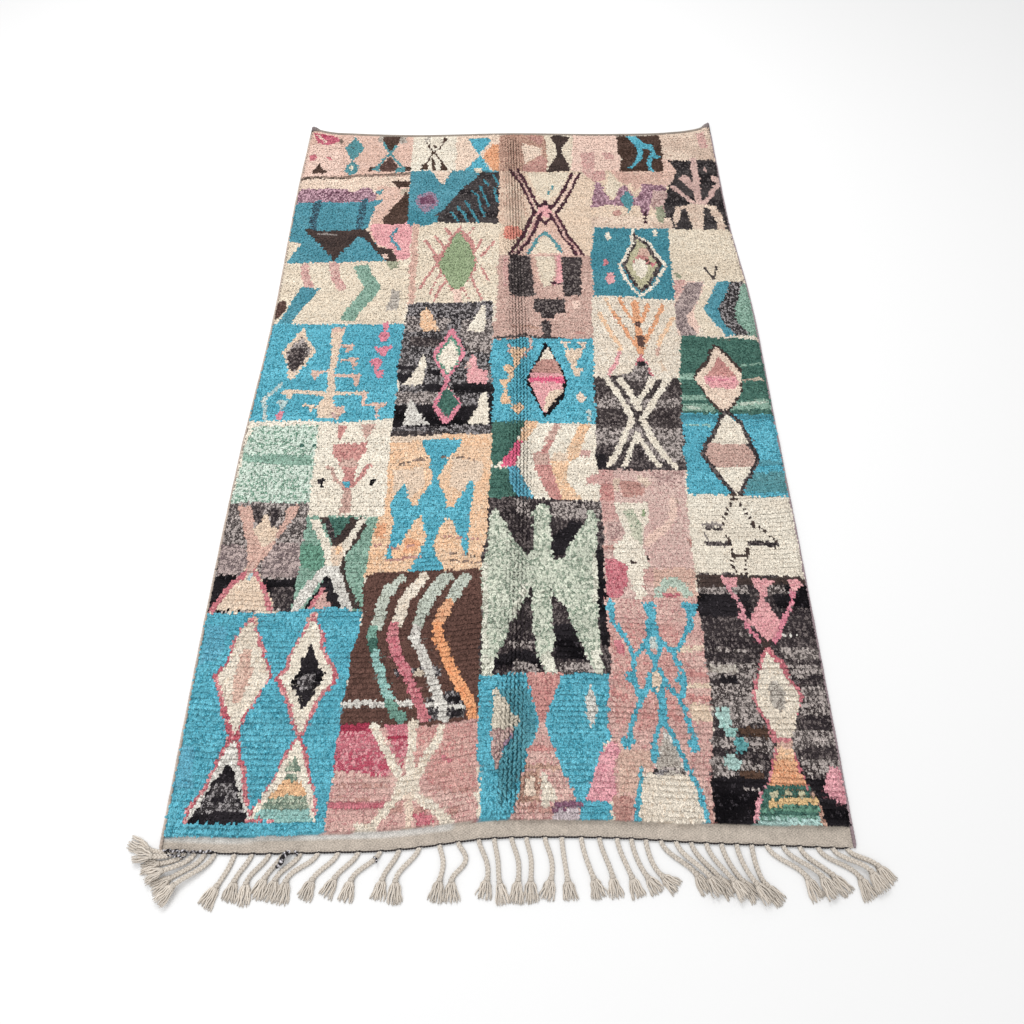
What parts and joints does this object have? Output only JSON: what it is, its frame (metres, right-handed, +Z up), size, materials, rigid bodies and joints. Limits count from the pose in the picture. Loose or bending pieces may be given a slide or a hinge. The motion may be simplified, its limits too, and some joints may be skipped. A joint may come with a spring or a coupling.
{
  "type": "patchwork rug",
  "caption": "Hand-knotted wool pile rug with a lengthwise fold line, flat woven heading, wrapped sides and plaited tassel fringe at one end.",
  "frame": {"origin": "on the floor under the middle of the whole plan, fringe and pulled corners included", "axes": "+Y along the rug away from its fringed end, +X across it to the right as seen from the fringe, +Z up out of the pile"},
  "size_m": [1.6333, 2.6676, 0.0222],
  "materials": {
    "knotted_wool": "cut wool pile in many colours: turquoise, rose, cream, charcoal, green and orange, over a beige woven ground",
    "selvedge_wool": "grey-mauve wool wrapped closely round the side cords",
    "twining_yarn": "dark two-ply wool yarn",
    "warp_wool": "undyed beige wool, plaited cords with cut tassels"
  },
  "bodies": {
    "root": {"rug_cloth": "knotted_wool", "selvedge_left": "selvedge_wool", "selvedge_right": "selvedge_wool", "twined_edge": "twining_yarn", "near_fringe": "warp_wool"}
  },
  "joints": []
}
